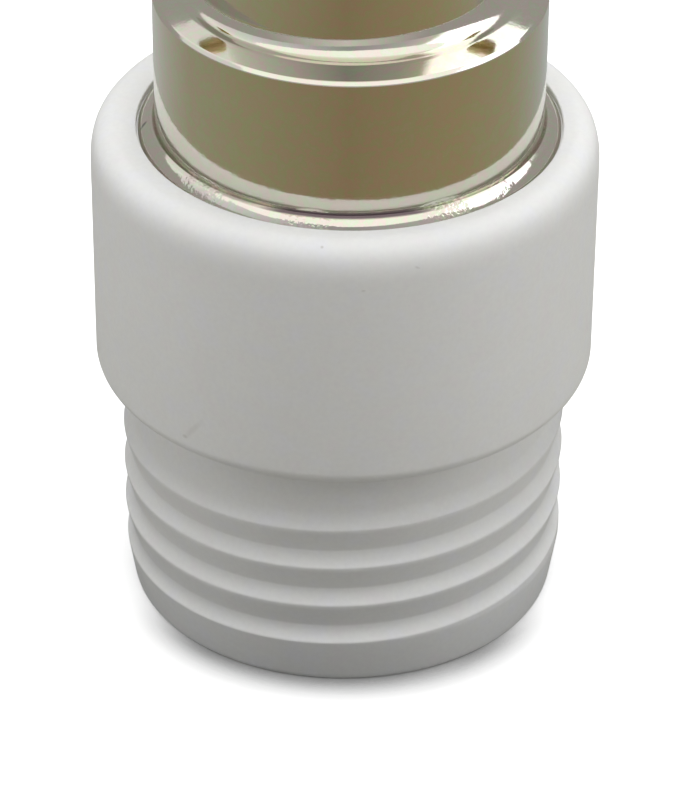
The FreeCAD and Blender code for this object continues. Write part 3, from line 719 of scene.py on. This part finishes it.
def shell_bulge(angle, height):
    """How far the rolled lamp thread pushes the shell outwards, from 0 to 1."""
    part = turn_share(angle)
    turns = (height - SHELL_START) / SHELL_PITCH - part
    nearest = round(turns)
    offset = (turns - nearest) * SHELL_PITCH
    along = nearest + part
    ends = soft_step(along / SHELL_END_SHARE)
    ends *= soft_step((SHELL_TURNS - along) / SHELL_END_SHARE)
    return ends * soft_step(1.0 - (abs(offset) - SHELL_CREST) / SHELL_FLANK)


def make_shell():
    """Screw shell of even wall with a rounded mouth and a flange under the web."""
    inside = [
        Vector((SHELL_MINOR, SHELL_TOP - (SHELL_TOP - SHELL_LOW) * step / SHELL_ROWS))
        for step in range(SHELL_ROWS + 1)
    ]
    outside = [Vector((SHELL_MINOR + SHELL_WALL, point.y)) for point in reversed(inside)]
    mouth = [
        Vector((SHELL_MINOR + across, height))
        for across, height in ((0.05, 5.04), (0.2, 5.0), (0.35, 5.04))
    ]
    flange = [Vector(corner) for corner in (
        (12.6, 26.8), (12.4, WEB_LOW), (7.5, WEB_LOW), (7.5, 26.6), (12.05, 26.6), (12.16, 26.55),
    )]
    points = inside + mouth + outside + flange
    rolled = [True] * len(inside) + [False] * len(mouth)
    rolled += [True] * len(outside) + [False] * len(flange)

    def shift(row, angle, point):
        if not rolled[row]:
            return point
        return point.x + SHELL_DEPTH * shell_bulge(angle, point.y), point.y

    vertices, faces = lathe(points, segments=240, shift=shift)
    piece = new_piece("shell_form", vertices, faces, "converter", "shell_metal", sharp=50.0)
    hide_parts("screw_shell")


def make_spring():
    """Round wire wound six times, closed at both ends by a small cap."""
    wire = 0.2
    low = SPRING_LOW + wire
    high = SPRING_HIGH - wire
    steps = 32 * SPRING_TURNS
    sides = 10
    vertices = []
    faces = []
    for step in range(steps + 1):
        angle = math.pi / 2.0 + TAU * SPRING_TURNS * step / steps
        middle = low + (high - low) * step / steps
        for side in range(sides):
            spin = TAU * side / sides
            radius = SPRING_COIL + wire * math.cos(spin)
            height = middle + wire * math.sin(spin)
            vertices.append((radius * math.cos(angle), radius * math.sin(angle), height))
    for step in range(steps):
        here = step * sides
        for side in range(sides):
            after = (side + 1) % sides
            faces.append((here + side, here + after, here + sides + after, here + sides + side))
    faces.append(tuple(range(sides)))
    faces.append(tuple(steps * sides + side for side in range(sides)))
    piece = new_piece("spring_form", vertices, faces, "converter", "spring_steel", sharp=60.0)
    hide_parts("contact_spring")
    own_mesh(piece)


def make_stud(name, node, side):
    """Contact stud with a low domed head, a collar and a bore for its lead."""
    profile = [
        (0.0, 67.8), *quarter((0.0, 67.15), 1.8, 0.65, 10)[1:], (1.8, 66.8), (1.1, 66.8),
        (1.1, 62.6), (1.6, 62.6), (1.6, 61.8), (1.1, 61.8), (1.1, 61.0), (0.55, 61.0),
        (0.55, 63.0), (0.0, 63.0),
    ]
    vertices, faces = turned(profile, segments=64)
    vertices = [(x, y + side, z) for x, y, z in vertices]
    piece = new_piece(name, vertices, faces, "converter", "brass")
    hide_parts(node)


def make_pin(name, node, side):
    """Bayonet pin with a rounded outer end and a flat head inside the sleeve."""
    profile = [
        (0.0, 9.79), (1.7, 9.79), (1.7, 10.34), (1.05, 10.34),
        *reversed(quarter((0.7, 13.15), 0.35, 0.35, 6)), (0.0, 13.5),
    ]
    vertices, faces = turned(profile, segments=48)
    vertices = [(side * z, y, x + PIN_LEVEL) for x, y, z in vertices]
    piece = new_piece(name, vertices, faces, "converter", "brass")
    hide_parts(node)


def make_plunger():
    """Centre contact with a rounded nose, a guided collar and a spigot for the spring."""
    profile = [
        (0.0, 21.52), *quarter((0.5, 22.72), 1.2, -1.2, 10), (1.7, 25.22), (2.2, 25.22),
        (2.25, 25.27), (2.25, 27.17), (2.2, 27.22), (1.45, 27.22), (1.45, 28.1), (1.33, 28.22),
        (0.0, 28.22),
    ]
    vertices, faces = turned(profile, segments=72)
    piece = new_piece("plunger_form", vertices, faces, "plunger", "brass")
    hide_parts("contact_plunger")


def dress_solids():
    """Give the solids that stay as they are the finish of their material slot."""
    for part in frame["record"]["subparts"]:
        node = frame["nodes"][part["node"]]
        for slot in node.material_slots:
            slot.material = MATERIALS[part["material_slot"]]


def ring(name, circles, material):
    """A ring of the set between two (radius, height) circles, in metres."""
    count = 96
    vertices = []
    faces = []
    for step in range(count):
        angle = TAU * step / count
        for radius, height in circles:
            vertices.append((radius * math.sin(angle), radius * math.cos(angle), height))
        after = (step + 1) % count
        faces.append((2 * after, 2 * after + 1, 2 * step + 1, 2 * step))
    mesh = bpy.data.meshes.new(name)
    mesh.from_pydata(vertices, [], faces)
    mesh.materials.append(material)
    item = bpy.data.objects.new(name, mesh)
    bpy.context.scene.collection.objects.link(item)
    return item


def make_floor():
    """Pale floor, white to the camera apart from the part's shadow, and clear from below.

    It is open under the socket's mouth.
    """
    material = bpy.data.materials.new("floor")
    tree = emptied(material)
    camera_ray = tree.nodes.new("ShaderNodeLightPath").outputs["Is Camera Ray"]
    where = own_place(tree)

    # The shadow is fullest in front of the part and nearly lost behind it.
    near = add(tree, "ShaderNodeAmbientOcclusion", Distance=SHADOW_REACH, samples=8)
    shadow = ramp(tree, near.outputs["AO"], [(part, grey(tone)) for part, tone in SHADOW_STOPS])
    way = add(tree, "ShaderNodeVectorMath", where, operation="NORMALIZE").outputs["Vector"]
    behind = graded(
        tree, split(tree, way)["Y"], *SHADOW_AHEAD, 0.0, SHADOW_LOST_BEHIND,
        interpolation_type="SMOOTHSTEP")
    shadow = mixed(tree, behind, shadow, WHITE)

    # What the floor throws back at the part is darker close to it: a painted shade for the part's
    # shadow on the floor.
    bounce = ramp(tree, length(tree, where), [
        (FLOOR_NEAR_RADIUS, FLOOR_NEAR), (FLOOR_FAR_RADIUS, FLOOR_FAR),
    ])
    paint = add(tree, "ShaderNodeBsdfDiffuse", mixed(tree, camera_ray, bounce, shadow))
    glow = maths(tree, "MULTIPLY", camera_ray, FLOOR_GLOW)
    light = add(tree, "ShaderNodeEmission", shadow, glow)
    above = add(
        tree, "ShaderNodeAddShader", paint.outputs["BSDF"], light.outputs["Emission"])

    from_below = tree.nodes.new("ShaderNodeNewGeometry").outputs["Backfacing"]
    clear = tree.nodes.new("ShaderNodeBsdfTransparent").outputs["BSDF"]
    surface = add(tree, "ShaderNodeMixShader", from_below, above.outputs["Shader"], clear)
    add(tree, "ShaderNodeOutputMaterial", surface.outputs["Shader"])
    ring("floor", [(FLOOR_HOLE, 0.0), (FLOOR_REACH, 0.0)], material)


def make_card(name, circles, colours):
    """A ring of card, coloured by direction, that only shows in reflections."""
    material = bpy.data.materials.new(name)
    tree = emptied(material)
    axes = split(tree, own_place(tree))
    turn = maths(tree, "ARCTAN2", axes["X"], axes["Y"])
    share = graded(tree, turn, -math.pi, math.pi)
    stops = [(0.5 + degrees / 360.0, colour) for degrees, colour in colours]
    light = add(tree, "ShaderNodeEmission", ramp(tree, share, stops))
    add(tree, "ShaderNodeOutputMaterial", light.outputs["Emission"])
    item = ring(name, circles, material)
    item.visible_camera = False
    item.visible_diffuse = False
    item.visible_shadow = False
    item.visible_transmission = False
    item.visible_volume_scatter = False


def make_light(name, place, size, power):
    """A soft light that faces the part and shows in no reflection."""
    lamp = bpy.data.lights.new(name, "AREA")
    lamp.shape = "RECTANGLE"
    lamp.size, lamp.size_y = size
    lamp.energy = power
    item = bpy.data.objects.new(name, lamp)
    item.location = place
    way = Vector(LIGHT_TARGET) - Vector(place)
    item.rotation_euler = way.to_track_quat("-Z", "Y").to_euler()
    item.visible_glossy = False
    bpy.context.scene.collection.objects.link(item)


def make_world():
    """Even studio surround: white where it is seen or mirrored, dimmer as light."""
    world = bpy.data.worlds.new("studio")
    bpy.context.scene.world = world
    tree = emptied(world)
    path = tree.nodes.new("ShaderNodeLightPath").outputs
    seen = maths(tree, "MAXIMUM", path["Is Camera Ray"], path["Is Glossy Ray"])
    shown = maths(tree, "MAXIMUM", seen, path["Is Transmission Ray"])
    background = add(tree, "ShaderNodeBackground", mixed(tree, shown, WORLD_LIGHT, WHITE))
    add(tree, "ShaderNodeOutputWorld", background.outputs["Background"])


def make_camera():
    """The photograph's pinhole: 33.6 degrees above the part, in front of it, slightly rolled."""
    lens = bpy.data.cameras.new("camera")
    lens.sensor_fit = "HORIZONTAL"
    lens.sensor_width = SENSOR_WIDTH
    lens.lens = SENSOR_WIDTH * PHOTO_FOCAL / PHOTO_WIDTH
    lens.clip_start = 0.01
    item = bpy.data.objects.new("camera", lens)
    forward = Vector(CAMERA_FORWARD)
    right = Vector((1.0, 0.0, 0.0))
    up = right.cross(forward)
    roll = math.radians(CAMERA_ROLL)
    across = right * math.cos(roll) + up * math.sin(roll)
    upward = up * math.cos(roll) - right * math.sin(roll)
    place = Matrix((across, upward, -forward)).transposed().to_4x4()
    place.translation = CAMERA_PLACE
    item.matrix_world = place
    bpy.context.scene.collection.objects.link(item)
    bpy.context.scene.camera = item


MATERIALS = make_materials()
make_camera()
make_body()
make_cap()
make_shell()
make_spring()
make_stud("stud_line_form", "contact_stud_line", -STUD_OFFSET)
make_stud("stud_neutral_form", "contact_stud_neutral", STUD_OFFSET)
make_pin("pin_right_form", "bayonet_pin_right", 1.0)
make_pin("pin_left_form", "bayonet_pin_left", -1.0)
make_plunger()
dress_solids()
make_floor()
for card in CARDS:
    make_card(*card)
make_world()
for light in LIGHTS:
    make_light(*light)
bpy.context.scene.view_settings.view_transform = "Standard"
